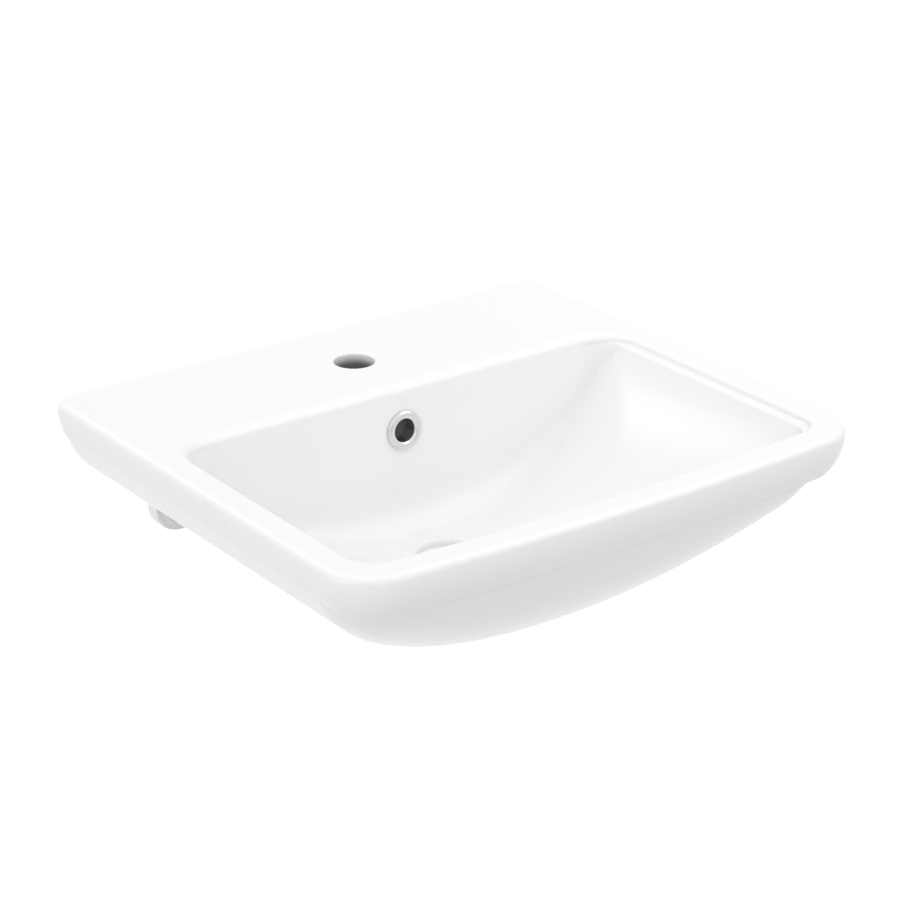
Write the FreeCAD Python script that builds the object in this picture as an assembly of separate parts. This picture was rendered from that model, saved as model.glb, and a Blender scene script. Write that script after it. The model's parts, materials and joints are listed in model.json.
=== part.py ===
import FreeCAD, Part
import math
import os

from FreeCAD import Vector

# Wall hung wash basin, 500 x 450 mm, in glazed vitreous china, with its chrome overflow ring
# and the two screw fixings that hold it on the wall.
# Millimetres. X runs along the wall, +Y points into the wall and +Z is up. The wall face is
# y = 0. The origin lies on it, midway between the two fixing screws.

# ---- the body seen from above
basin_width = 500.0
basin_depth = 450.0
front_bow = 10.4
front_corner_radius = 42.0
back_corner_radius = 12.0
fixing_drop = 120.0
ground_off = 0.5

# ---- the deck, its rounded edges and the band below it
deck_edge_radius = 5.5
deck_thickness = 15.0
apron_height = 38.0
apron_tuck = 10.0
apron_flat = 6.0
apron_slices = 4
apron_corner_share = 0.5

# ---- the opening of the bowl
side_rim = 25.5
front_rim = 25.5
back_ledge = 146.0
opening_corner_radius = 24.0
side_lip_radius = 3.5
back_lip_radius = 9.0
lip_drop = 8.0
lip_slope = 6.5
lip_steps = 4
lip_first_angle = 12.0

# ---- the inside of the bowl
bowl_depth = 130.0
bowl_fullness = 2.6
bowl_roundness = 0.9
back_wall_lean = 10.0
lean_depth = 10.0
front_wall_lean = 24.0
floor_fall = 8.0
back_floor_radius = 22.0
front_floor_radius = 110.0
ramp_overrun = 1.0
crease_ledge = 0.2
bowl_slices = 8
bowl_corner_slices = 5

# ---- the hull under the bowl
hull_side_step = 12.0
hull_front_step = 12.3
hull_drop = 148.0
hull_overhang = 5.0
hull_fullness = 2.25
hull_roundness = 0.848
hull_corner_radius = 83.0
hull_front_run = 126.0
hull_run_power = 0.709
hull_upper_pole = (0.085, 0.288)
hull_lower_pole = (0.517, 0.856)
hull_slices = 9
hull_trim = 3.0

# ---- walls of the china
bowl_back_thickness = 12.0
wing_thickness = 12.0
flange_thickness = 14.0
window_corner_radius = 12.0

# ---- waste outlet, overflow passage and tap hole
tap_hole_diameter = 35.0
tap_hole_to_wall = 76.5
tap_hole_edge_radius = 1.5
waste_to_wall = 210.0
waste_bore = 46.0
waste_seat_diameter = 66.0
waste_ledge_diameter = 57.0
waste_seat_depth = 7.0
waste_boss_diameter = 92.0
waste_boss_drop = 24.0
overflow_drop = 39.5
overflow_hole_diameter = 25.0
duct_width = 40.0
duct_depth = 12.0
duct_wall = 9.0
duct_corner_radius = 10.0

# ---- overflow ring
ring_outer_diameter = 36.6
ring_inner_diameter = 21.0
ring_height = 4.6
ring_leg_length = 15.0
ring_leg_thickness = 1.4
ring_leg_count = 4
ring_leg_gap = 6.0
ring_barb_length = 3.0
ring_clearance = 0.3
ring_seat_gap = 0.2
ring_crown_share = 0.55
ring_shoulder = (0.09, 0.62)
ring_dish = (0.22, 0.8)
ring_dish_end = 0.25

# ---- wall fixings
fixing_spacing = 280.0
lug_radius = 24.0
lug_to_window = 2.0
fixing_hole_diameter = 20.0
screw_diameter = 10.0
screw_wood_diameter = 9.2
screw_wood_length = 62.0
screw_point_length = 6.0
screw_past_nut = 9.0
plug_diameter = 14.0
plug_length = 70.0
plug_neck_length = 18.0
plug_slot_width = 1.6
plug_rib_depth = 0.8
plug_rib_pitch = 6.0
plug_rib_step = 0.1
plug_rib_end = 0.7
plug_tip_length = 10.0
bush_clearance = 0.5
bush_flange_diameter = 34.0
bush_flange_thickness = 4.0
washer_diameter = 26.0
washer_thickness = 2.0
nut_flats = 17.0
nut_height = 8.0
screw_clearance = 0.4
edge_break = 1.0

# ---- how cutting shapes run past what they cut, and how close counts as the same
overrun = 1.0
air_height = 20.0
tolerance = 0.01

# ---- sizes that follow from those above
half_width = basin_width / 2
half_spacing = fixing_spacing / 2
deck_z = fixing_drop
lip_z = deck_z - lip_drop
apron_z = deck_z - apron_height
deck_under_z = deck_z - deck_thickness
hull_z = deck_z - hull_drop
boss_z = hull_z - waste_boss_drop
duct_floor_z = boss_z + duct_wall
overflow_z = deck_z - overflow_drop
nut_top = flange_thickness + bush_flange_thickness + washer_thickness + nut_height
screw_end = nut_top + screw_past_nut
bow_radius = (half_width**2 + front_bow**2) / (2 * front_bow)
crease_half_width = half_width - side_rim - lip_slope
crease_back_y = -back_ledge - 1.0
crease_front_y = -(basin_depth - front_rim - lip_slope)
crease_corner_radius = opening_corner_radius - lip_slope
hull_half_width = half_width - hull_side_step
hull_front_y = -(basin_depth - hull_front_step)
bowl_back_y = -back_ledge + bowl_back_thickness
duct_back_y = bowl_back_y + duct_depth + duct_wall / 4
bowl_drop_full = bowl_depth - lip_drop
hull_drop_full = hull_drop - apron_height


def plan_outline(half, back_y, front_y, back_radius, front_radius, z):
    """A closed outline at one height: straight back and sides, bowed front, four round corners."""
    radius = bow_radius * half / half_width
    centre_y = front_y + radius
    back_y_in = back_y - back_radius
    blend_x = half - front_radius
    blend_y = centre_y - math.sqrt((radius - front_radius) ** 2 - blend_x**2)
    reach = radius / (radius - front_radius)
    touch = Vector(blend_x * reach, centre_y + (blend_y - centre_y) * reach, z)
    bend = math.atan2(touch.y - blend_y, touch.x - blend_x) / 2
    mid_corner = Vector(
        blend_x + front_radius * math.cos(bend), blend_y + front_radius * math.sin(bend), z
    )
    diagonal = back_radius * math.sqrt(0.5)
    mid_back = Vector(half - back_radius + diagonal, back_y_in + diagonal, z)

    def mirrored(point):
        return Vector(-point.x, point.y, point.z)

    back_right = Vector(half - back_radius, back_y, z)
    side_top = Vector(half, back_y_in, z)
    side_bottom = Vector(half, blend_y, z)
    front_middle = Vector(0, front_y, z)
    edges = [
        Part.LineSegment(mirrored(back_right), back_right),
        Part.Arc(back_right, mid_back, side_top),
        Part.LineSegment(side_top, side_bottom),
        Part.Arc(side_bottom, mid_corner, touch),
        Part.Arc(touch, front_middle, mirrored(touch)),
        Part.Arc(mirrored(touch), mirrored(mid_corner), mirrored(side_bottom)),
        Part.LineSegment(mirrored(side_bottom), mirrored(side_top)),
        Part.Arc(mirrored(side_top), mirrored(mid_back), mirrored(back_right)),
    ]
    return Part.Wire([edge.toShape() for edge in edges])


def prism(wire, height):
    return Part.Face(wire).extrude(Vector(0, 0, height))


def box(x0, x1, y0, y1, z0, z1):
    return Part.makeBox(x1 - x0, y1 - y0, z1 - z0, Vector(x0, y0, z0))


def cylinder_up(radius, x, y, z0, z1):
    return Part.makeCylinder(radius, z1 - z0, Vector(x, y, z0), Vector(0, 0, 1))


def stations(half, count):
    """Places across the width, closer together towards the sides."""
    return [half * math.sin(math.pi / 2 * step / count) for step in range(-count, count + 1)]


# ---- outside of the body
def apron_inset(below_deck):
    """How far the side of the band has drawn in at a depth below the deck."""
    drop = apron_height - apron_flat
    radius = (drop**2 + apron_tuck**2) / (2 * apron_tuck)
    under = max(below_deck - apron_flat, 0.0)
    return radius - math.sqrt(radius**2 - under**2)


def band_outline(below):
    """The body's outer outline at a depth below the deck."""
    inset = apron_inset(below)
    return plan_outline(
        half_width - inset,
        ground_off,
        -(basin_depth - inset),
        back_corner_radius,
        front_corner_radius - inset * apron_corner_share,
        deck_z - below,
    )


def apron_block():
    """The deck and the band round it, upright at first and then drawing in."""
    upright = prism(band_outline(apron_flat), apron_flat)
    rim = [edge for edge in upright.Edges if edge.BoundBox.ZMin > deck_z - tolerance]
    step = (apron_height - apron_flat) / (apron_slices - 1)
    wires = [band_outline(apron_flat + step * part) for part in range(apron_slices)]
    return upright.makeFillet(deck_edge_radius, rim).fuse(Part.makeLoft(wires, True, False))


def hull_depth(x):
    share = min(abs(x) / (hull_half_width + hull_overhang), 1.0)
    return hull_drop_full * (1 - share**hull_fullness) ** hull_roundness


def hull_front(x):
    """The y where the hull starts below the band: the bow of the front and a wide corner."""
    y = hull_front_y + front_bow * (x / half_width) ** 2
    past = abs(x) - (hull_half_width - hull_corner_radius)
    if past > 0:
        y += hull_corner_radius - math.sqrt(max(hull_corner_radius**2 - past**2, 0.0))
    return y


def hull_section(x, top_z):
    depth = hull_depth(x)
    run = hull_front_run * (depth / hull_drop_full) ** hull_run_power
    y = hull_front(x)
    upper_run, upper_fall = hull_upper_pole
    lower_run, lower_fall = hull_lower_pole
    curve = Part.BezierCurve()
    curve.setPoles(
        [
            Vector(x, y, apron_z),
            Vector(x, y + upper_run * run, apron_z - upper_fall * depth),
            Vector(x, y + lower_run * run, apron_z - lower_fall * depth),
            Vector(x, y + run, apron_z - depth),
        ]
    )
    top_front = Vector(x, y, top_z)
    start = Vector(x, y, apron_z)
    foot = Vector(x, y + run, apron_z - depth)
    foot_back = Vector(x, ground_off, apron_z - depth)
    top_back = Vector(x, ground_off, top_z)
    edges = [
        Part.makeLine(top_front, start),
        curve.toShape(),
        Part.makeLine(foot, foot_back),
        Part.makeLine(foot_back, top_back),
        Part.makeLine(top_back, top_front),
    ]
    return Part.Wire(edges)


def hull_block():
    """The rounded hull under the band, made a little too wide and then trimmed."""
    places = stations(hull_half_width + hull_trim, hull_slices)
    wires = [hull_section(x, apron_z + apron_flat) for x in places]
    outline = plan_outline(
        hull_half_width,
        ground_off,
        -basin_depth,
        back_corner_radius,
        front_corner_radius,
        boss_z,
    )
    return Part.makeLoft(wires, True, False).common(prism(outline, deck_z - boss_z))


# ---- inside of the bowl
def opening_outline(turn):
    """The opening's outline where its rounded lip has turned down by an angle."""
    rise = 1 - math.sin(turn)
    side = side_lip_radius * rise
    down = side_lip_radius * (1 - math.cos(turn))
    return plan_outline(
        half_width - side_rim + side,
        -back_ledge + back_lip_radius * rise,
        -(basin_depth - front_rim + side),
        opening_corner_radius + side,
        opening_corner_radius + side,
        deck_z - down,
    )


def lip_cutter():
    """The opening's rounded lip, the short slope below it and the air above it."""
    first_turn = math.radians(lip_first_angle)
    step_turn = (math.pi / 2 - first_turn) / lip_steps
    turns = [first_turn + step_turn * step for step in range(lip_steps + 1)]
    lip = Part.makeLoft([opening_outline(turn) for turn in reversed(turns)], True, False)
    slope = Part.makeLoft([crease_outline(lip_z), opening_outline(math.pi / 2)], True, True)
    air = prism(opening_outline(first_turn), air_height)
    return slope.fuse([lip, air])


def crease_outline(z):
    return plan_outline(
        crease_half_width,
        crease_back_y,
        crease_front_y,
        crease_corner_radius,
        crease_corner_radius,
        z,
    )


def bowl_drop(x):
    """Depth of the floor below the crease, across the width."""
    share = min(abs(x) / (crease_half_width + ramp_overrun), 1.0)
    return bowl_drop_full * (1 - share**bowl_fullness) ** bowl_roundness


def lean_share(drop):
    """How much of the back wall's full lean its foot has at a drop; most of it comes early."""
    return drop / (drop + lean_depth)


def crease_reach(x):
    """The y of the crease at the back and at the front, across the width."""
    half = crease_half_width
    radius = crease_corner_radius
    bow = bow_radius * half / half_width
    past = max(abs(x) - (half - radius), 0.0)
    corner = radius - math.sqrt(radius**2 - past**2)
    blend_x = half - radius
    front = crease_front_y + bow - math.sqrt(bow**2 - min(abs(x), blend_x) ** 2)
    return crease_back_y - corner - crease_ledge, front + corner + crease_ledge


def bowl_section(x):
    drop = bowl_drop(x)
    share = drop / bowl_drop_full
    foot_z = lip_z - drop
    back_y, front_y = crease_reach(x)
    top_z = lip_z + ramp_overrun
    corners = [
        Vector(x, front_y, top_z),
        Vector(x, back_y, top_z),
        Vector(x, back_y, lip_z),
        Vector(x, back_y - back_wall_lean * lean_share(drop), foot_z),
        Vector(x, front_y + front_wall_lean * share, foot_z + floor_fall * share),
        Vector(x, front_y, lip_z),
    ]
    floor_radii = [back_floor_radius * share, front_floor_radius * share]
    return filleted_loop(corners, [0, 0, 0] + floor_radii + [0])


def filleted_loop(corners, radii):
    """A closed wire of straight lines through the corners, with an arc at each radius over 0."""
    count = len(corners)
    ends = []
    for index in range(count):
        here = corners[index]
        before = corners[index - 1]
        after = corners[(index + 1) % count]
        if radii[index] == 0:
            ends.append((here, here, here))
            continue
        towards_before = (before - here).normalize()
        towards_after = (after - here).normalize()
        half_angle = towards_before.getAngle(towards_after) / 2
        setback = radii[index] / math.tan(half_angle)
        middle = (towards_before + towards_after).normalize()
        distance = radii[index] / math.sin(half_angle)
        arc_middle = here + middle * (distance - radii[index])
        ends.append((here + towards_before * setback, arc_middle, here + towards_after * setback))
    edges = []
    for index in range(count):
        start, middle, end = ends[index]
        if radii[index] > 0:
            edges.append(Part.Arc(start, middle, end).toShape())
        following = ends[(index + 1) % count][0]
        edges.append(Part.makeLine(end, following))
    return Part.Wire(edges)


def bowl_cutter():
    half = crease_half_width - crease_ledge
    straight = half - crease_corner_radius
    inner = stations(straight, bowl_slices)
    step_turn = math.pi / 2 / bowl_corner_slices
    turns = [step_turn * step for step in range(1, bowl_corner_slices + 1)]
    outer = [straight + crease_corner_radius * math.sin(turn) for turn in turns]
    places = [-x for x in reversed(outer)] + inner + outer
    return Part.makeLoft([bowl_section(x) for x in places], True, False)


# ---- underside behind the bowl
def wing_inner_z(x):
    share = min(abs(x) / (hull_half_width - wing_thickness), 1.0)
    full = hull_drop_full - wing_thickness
    return apron_z - full * (1 - share**hull_fullness) ** hull_roundness


def deck_cavity():
    """The hollow under the deck, between the bowl, the two wings and the wall flange."""
    half = hull_half_width - wing_thickness
    places = stations(half, bowl_slices)
    points = [Vector(x, -flange_thickness, wing_inner_z(x)) for x in places]
    curve = Part.BSplineCurve()
    curve.interpolate(points)
    top = [
        Vector(half, -flange_thickness, apron_z),
        Vector(half, -flange_thickness, deck_under_z),
        Vector(-half, -flange_thickness, deck_under_z),
        Vector(-half, -flange_thickness, apron_z),
    ]
    edges = [Part.makeLine(top[i], top[i + 1]) for i in range(3)]
    face = Part.Face(Part.Wire([curve.toShape()] + edges))
    return face.extrude(Vector(0, bowl_back_y + flange_thickness, 0))


def is_along_y(edge):
    bounds = edge.BoundBox
    return bounds.XLength < tolerance and bounds.ZLength < tolerance


def window_cutter():
    """The open middle of the underside, and the gap between the two lugs at the wall."""
    wing_edge = half_spacing + lug_radius + lug_to_window
    lug_edge = half_spacing - lug_radius
    wide = box(-wing_edge, wing_edge, bowl_back_y, -flange_thickness, boss_z, apron_z)
    narrow = box(-lug_edge, lug_edge, -2 * flange_thickness, flange_thickness, boss_z, apron_z)
    top = [edge for edge in narrow.Edges if is_along_y(edge) and edge.BoundBox.ZMin > boss_z + tolerance]
    return wide.fuse(narrow.makeFillet(window_corner_radius, top))


def lugs():
    """Two lugs on the wall flange, each a plate with a round lower end."""
    shapes = []
    for x in (-half_spacing, half_spacing):
        centre = Vector(x, 0, 0)
        disc = Part.makeCylinder(lug_radius, flange_thickness, centre, Vector(0, -1, 0))
        shank = box(x - lug_radius, x + lug_radius, -flange_thickness, 0, 0, apron_z)
        shapes += [disc, shank]
    return shapes


def under_lug_centres():
    """What the hull leaves of the flange below the fixing holes, round the lugs."""
    lug_edge = half_spacing + lug_radius
    return box(-lug_edge, lug_edge, -flange_thickness, flange_thickness, boss_z, 0)


def fixing_holes():
    shapes = []
    for x in (-half_spacing, half_spacing):
        start = Vector(x, flange_thickness, 0)
        length = 3 * flange_thickness
        shapes.append(
            Part.makeCylinder(fixing_hole_diameter / 2, length, start, Vector(0, -1, 0))
        )
    return shapes


# ---- waste outlet, overflow passage and tap hole
def duct_shape(width, top_z, grow, radius):
    """An L seen from the side: down behind the bowl, then forward to the waste bore."""
    back = duct_back_y + grow
    front = duct_back_y - duct_depth - grow
    floor = duct_floor_z - grow
    roof = duct_floor_z + duct_depth + grow
    x = -width / 2
    corners = [
        Vector(x, back, top_z),
        Vector(x, back, floor),
        Vector(x, -waste_to_wall, floor),
        Vector(x, -waste_to_wall, roof),
        Vector(x, front, roof),
        Vector(x, front, top_z),
    ]
    wire = filleted_loop(corners, [0, radius, 0, 0, 0, 0])
    return Part.Face(wire).extrude(Vector(width, 0, 0))


def overflow_axis():
    """Square to the leaning back wall, pointing into the bowl."""
    lean = math.atan2(back_wall_lean * lean_share(bowl_drop_full), bowl_drop_full)
    return Vector(0, -math.cos(lean), math.sin(lean))


def overflow_seat():
    """The point on the back wall at the middle of the overflow hole."""
    down = lip_z - overflow_z
    y = crease_back_y - back_wall_lean * lean_share(bowl_drop_full) * down / bowl_drop_full
    return Vector(0, y, overflow_z)


def overflow_hole():
    """The hole through the bowl's back wall into the overflow passage."""
    start = overflow_seat() + overflow_axis() * bowl_back_thickness
    length = 3 * bowl_back_thickness
    hole = Part.makeCylinder(overflow_hole_diameter / 2, length, start, overflow_axis() * -1)
    reach = box(-duct_width, duct_width, -basin_depth, duct_back_y, hull_z, deck_z)
    return hole.common(reach)


def waste_cutter():
    """The waste bore with the countersunk seat round it in the bowl's floor."""
    centre_y = -waste_to_wall
    floor = deck_z - bowl_depth
    seat_z = floor - waste_seat_depth
    bore = cylinder_up(waste_bore / 2, 0, centre_y, boss_z - waste_boss_drop, floor + bowl_depth / 2)
    slope = (waste_seat_diameter - waste_ledge_diameter) / 2 / waste_seat_depth
    height = 2 * waste_seat_depth
    ledge_radius = waste_ledge_diameter / 2
    base = Vector(0, centre_y, seat_z)
    return bore.fuse(Part.makeCone(ledge_radius, ledge_radius + slope * height, height, base))


def tap_hole():
    centre_y = -tap_hole_to_wall
    radius = tap_hole_diameter / 2
    bore = cylinder_up(radius, 0, centre_y, deck_under_z - overrun, deck_z + overrun)
    base = Vector(0, centre_y, deck_z - tap_hole_edge_radius)
    flare = Part.makeCone(radius, radius + tap_hole_edge_radius, tap_hole_edge_radius, base)
    return bore.fuse(flare)


def ceramic_basin():
    body = apron_block().fuse(hull_block())
    body = body.cut([deck_cavity(), window_cutter(), under_lug_centres()])
    boss = cylinder_up(waste_boss_diameter / 2, 0, -waste_to_wall, boss_z, deck_z - bowl_depth)
    casing_width = duct_width + 2 * duct_wall
    casing_radius = duct_corner_radius + duct_wall
    casing = duct_shape(casing_width, deck_under_z + overrun, duct_wall, casing_radius)
    body = body.fuse(lugs() + [boss, casing])
    body = body.cut(lip_cutter())
    body = body.cut(bowl_cutter())
    passage = duct_shape(duct_width, overflow_z + duct_depth, 0.0, duct_corner_radius)
    behind = box(-basin_width, basin_width, 0, basin_depth, boss_z, deck_z)
    cuts = [waste_cutter(), passage, overflow_hole(), tap_hole(), behind] + fixing_holes()
    return body.cut(cuts).removeSplitter().Solids[0]


# ---- overflow ring
def revolved(points):
    """A solid turned round the Z axis from an outline of radius and height."""
    wire = Part.makePolygon([Vector(r, 0, z) for r, z in points + points[:1]])
    return Part.Face(wire).revolve(Vector(0, 0, 0), Vector(0, 0, 1), 360)


def ring_bezel():
    """The domed chrome bezel: a half round outside and a slope into the hole."""
    outer = ring_outer_diameter / 2
    inner = ring_inner_diameter / 2
    width = outer - inner
    crown = inner + width * ring_crown_share
    arc_end = Vector(inner, 0, ring_height * ring_dish_end)
    top = Vector(crown, 0, ring_height)
    start = Vector(outer, 0, 0)
    shoulder = Vector(outer - width * ring_shoulder[0], 0, ring_height * ring_shoulder[1])
    dish = Vector(inner + width * ring_dish[0], 0, ring_height * ring_dish[1])
    edges = [
        Part.Arc(start, shoulder, top).toShape(),
        Part.Arc(top, dish, arc_end).toShape(),
        Part.makeLine(arc_end, Vector(inner, 0, 0)),
        Part.makeLine(Vector(inner, 0, 0), start),
    ]
    face = Part.Face(Part.Wire(edges))
    return face.revolve(Vector(0, 0, 0), Vector(0, 0, 1), 360)


def overflow_ring():
    """The bezel with four spring legs that clip behind the china."""
    leg_outer = overflow_hole_diameter / 2 - ring_clearance
    leg_inner = leg_outer - ring_leg_thickness
    end = -ring_leg_length
    root = edge_break / 2
    sleeve = revolved([(leg_inner, end), (leg_outer, end), (leg_outer, root), (leg_inner, root)])
    for index in range(ring_leg_count):
        slot = box(0, ring_outer_diameter, -ring_leg_gap / 2, ring_leg_gap / 2, end - overrun, -edge_break)
        slot.rotate(Vector(0, 0, 0), Vector(0, 0, 1), 45 + index * 360 / ring_leg_count)
        sleeve = sleeve.cut(slot)
    notch_top = end + ring_barb_length
    groove = revolved(
        [
            (leg_outer - ring_leg_thickness / 2, notch_top),
            (leg_outer + overrun, notch_top),
            (leg_outer + overrun, notch_top + ring_barb_length),
            (leg_outer - ring_leg_thickness / 2, notch_top + ring_barb_length / 2),
        ]
    )
    ring = ring_bezel().fuse(sleeve.cut(groove))
    turn = FreeCAD.Rotation(Vector(0, 0, 1), overflow_axis())
    ring.Placement = FreeCAD.Placement(overflow_seat() + overflow_axis() * ring_seat_gap, turn)
    return ring


# ---- wall fixings
def on_wall(shape, x):
    """Turns a shape made along Z so that it points out of the wall at a fixing hole."""
    turn = FreeCAD.Rotation(Vector(0, 0, 1), Vector(0, -1, 0))
    shape.Placement = FreeCAD.Placement(Vector(x, 0, 0), turn)
    return shape


def hanger_screw():
    """A screw with a thin shank in the wall and a thicker one for the nut."""
    wood = screw_wood_diameter / 2
    metric = screw_diameter / 2
    point = -screw_wood_length
    points = [(0, point), (wood / 2, point), (wood, point + screw_point_length), (wood, 0)]
    points += [(metric, 0), (metric, screw_end - edge_break)]
    points += [(metric - edge_break, screw_end), (0, screw_end)]
    return revolved(points)


def wall_plug():
    """A nylon plug with a plain neck, ribs that grip the wall and a slot that lets it spread."""
    outer = plug_diameter / 2
    bore = screw_wood_diameter / 2 + screw_clearance
    points = [(bore, 0), (outer, 0)]
    ribs = int((plug_length - plug_neck_length - plug_tip_length) / plug_rib_pitch)
    for index in range(ribs):
        z = -plug_neck_length - plug_rib_pitch * index
        points.append((outer, z))
        points.append((outer - plug_rib_depth, z - plug_rib_pitch * plug_rib_step))
        points.append((outer, z - plug_rib_pitch * plug_rib_end))
    points.append((outer, -plug_length + plug_tip_length))
    points.append((outer - 2 * plug_rib_depth, -plug_length))
    points.append((bore - edge_break, -plug_length))
    points.append((bore, -screw_wood_length - edge_break))
    half_slot = plug_slot_width / 2
    slot_start = -plug_length - overrun
    slot_end = -2 * plug_neck_length
    slot = box(-plug_diameter, plug_diameter, -half_slot, half_slot, slot_start, slot_end)
    return revolved(points).cut(slot)


def fixing_bush():
    """The flanged nylon bush between the china and the screw."""
    sleeve = fixing_hole_diameter / 2 - bush_clearance
    bore = screw_diameter / 2 + screw_clearance
    flange = bush_flange_diameter / 2
    face = flange_thickness
    top = face + bush_flange_thickness
    points = [(bore, edge_break), (sleeve - edge_break, edge_break), (sleeve, 2 * edge_break)]
    points += [(sleeve, face), (flange, face), (flange, top - edge_break)]
    points += [(flange - edge_break, top), (bore, top)]
    return revolved(points)


def fixing_washer():
    bore = screw_diameter / 2 + screw_clearance
    outer = washer_diameter / 2
    base = flange_thickness + bush_flange_thickness
    top = base + washer_thickness
    return revolved([(bore, base), (outer, base), (outer, top), (bore, top)])


def fixing_nut():
    """A hexagon nut with its corners turned down."""
    base = flange_thickness + bush_flange_thickness + washer_thickness
    across_corners = nut_flats / math.cos(math.radians(30)) / 2
    corners = []
    for index in range(7):
        angle = math.radians(60 * index)
        x = across_corners * math.cos(angle)
        y = across_corners * math.sin(angle)
        corners.append(Vector(x, y, base))
    hexagon = Part.Face(Part.makePolygon(corners)).extrude(Vector(0, 0, nut_height))
    flat = nut_flats / 2
    top = base + nut_height
    fall = (across_corners - flat) * math.tan(math.radians(30))
    lower = [(0, base), (flat, base), (across_corners, base + fall)]
    upper = [(across_corners, top - fall), (flat, top), (0, top)]
    turned = revolved(lower + upper)
    bore = screw_diameter / 2 + screw_clearance
    hole = Part.makeCylinder(bore, 2 * nut_height, Vector(0, 0, base - nut_height / 2))
    return hexagon.common(turned).cut(hole)


def save(name, shape):
    shape.exportStep(os.path.join("parts", name + ".step"))
    solids = len(shape.Solids)
    print(name, "solids", solids, "valid", shape.isValid(), "cm3", round(shape.Volume / 1000, 1))


os.makedirs("parts", exist_ok=True)
save("ceramic_basin", ceramic_basin())
save("overflow_ring", overflow_ring())
for side, x in (("left", -half_spacing), ("right", half_spacing)):
    save("hanger_screw_" + side, on_wall(hanger_screw(), x))
    save("wall_plug_" + side, on_wall(wall_plug(), x))
    save("fixing_bush_" + side, on_wall(fixing_bush(), x))
    save("fixing_washer_" + side, on_wall(fixing_washer(), x))
    save("fixing_nut_" + side, on_wall(fixing_nut(), x))
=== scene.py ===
import json
import math

import bmesh
import bpy
import numpy as np
from bpy.props import FloatProperty, FloatVectorProperty, IntProperty, PointerProperty
from mathutils import Matrix, Vector

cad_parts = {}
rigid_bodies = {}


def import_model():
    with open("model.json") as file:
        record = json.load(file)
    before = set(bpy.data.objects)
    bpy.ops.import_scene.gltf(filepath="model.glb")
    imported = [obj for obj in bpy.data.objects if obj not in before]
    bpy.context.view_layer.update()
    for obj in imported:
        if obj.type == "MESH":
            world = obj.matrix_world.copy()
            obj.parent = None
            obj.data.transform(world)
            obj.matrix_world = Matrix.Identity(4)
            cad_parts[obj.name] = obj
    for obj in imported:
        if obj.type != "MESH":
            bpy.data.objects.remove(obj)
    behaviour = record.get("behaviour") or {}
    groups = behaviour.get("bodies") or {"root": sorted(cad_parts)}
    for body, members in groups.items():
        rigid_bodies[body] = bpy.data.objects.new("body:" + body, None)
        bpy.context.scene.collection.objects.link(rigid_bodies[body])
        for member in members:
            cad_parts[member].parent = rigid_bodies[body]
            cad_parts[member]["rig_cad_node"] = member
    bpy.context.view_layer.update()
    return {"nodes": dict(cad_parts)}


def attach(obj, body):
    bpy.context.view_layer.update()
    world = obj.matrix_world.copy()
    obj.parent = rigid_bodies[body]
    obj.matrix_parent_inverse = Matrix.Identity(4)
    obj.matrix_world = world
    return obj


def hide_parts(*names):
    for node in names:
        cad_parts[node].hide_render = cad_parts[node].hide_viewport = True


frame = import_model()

bl_info = {
    "name": "Wall hung basin",
    "version": (1, 0, 0),
    "blender": (4, 5, 0),
    "location": "View3D > Sidebar > Basin",
    "description": "Builds the visible china, overflow ring, wall fixings and stage of a wall hung basin",
    "category": "Object",
}

MM = 0.001

# Sizes of the china, in millimetres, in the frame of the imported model: the wall face is y = 0
# and the deck lies at z = 120.
HALF_WIDTH = 250.0
DEPTH = 449.9
FRONT_BOW = 10.4
FRONT_CORNER = 42.0
BACK_CORNER = 12.0
DECK_Z = 120.0
DECK_UNDER_Z = 105.0
BAND_HEIGHT = 38.0
BAND_TUCK = 10.0
BAND_FLAT = 6.0
BAND_FOOT_RADIUS = 2.6
BAND_Z = DECK_Z - BAND_HEIGHT
SIDE_RIM = 25.5
BACK_LEDGE = 146.0
OPENING_CORNER = 24.0
OPENING_BACK_CORNER = 37.0
LIP_SLOPE = 6.5
LIP_DROP = 8.0
BACK_LIP_DROP = 7.6
CREASE_HALF = HALF_WIDTH - SIDE_RIM - LIP_SLOPE
CREASE_CORNER = OPENING_CORNER - LIP_SLOPE
CREASE_BACK_CORNER = 27.0
CREASE_BACK = -BACK_LEDGE - 1.0
CREASE_FRONT = -(DEPTH - SIDE_RIM - LIP_SLOPE)
CREASE_Z = DECK_Z - LIP_DROP
BOWL_DROP = 122.0
BOWL_FULLNESS = 2.6
BOWL_ROUNDNESS = 0.9
BACK_LEAN = 10.0
FRONT_LEAN = 24.0
FLOOR_FALL = 8.0
BACK_FLOOR_RADIUS = 36.0
FRONT_FLOOR_RADIUS = 110.0
HULL_HALF = 239.9
HULL_SPAN = 243.0
HULL_FRONT = -437.7
HULL_DROP = 110.8
HULL_FULLNESS = 2.25
HULL_ROUNDNESS = 0.848
HULL_CORNER = 58.0
HULL_RUN = 116.0
HULL_RUN_POWER = 0.709
HULL_END = 224.0
HULL_SIDE_LEAN = 0.69
WING = 12.0
FLANGE = 14.0
BOWL_BACK_Y = -134.0
WASTE_Y = -210.0
BOSS_Z = -52.0
DUCT_BACK_Y = -119.75
DUCT_WIDTH = 40.0
DUCT_DEPTH = 12.0
DUCT_WALL = 9.0
DUCT_FLOOR_Z = BOSS_Z + DUCT_WALL
OVERFLOW_Z = DECK_Z - 39.5
TAP_Y = -76.5
FIXING_X = 140.0
LUG_RADIUS = 24.0
BOW_RADIUS = (HALF_WIDTH**2 + FRONT_BOW**2) / (2 * FRONT_BOW)


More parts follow.
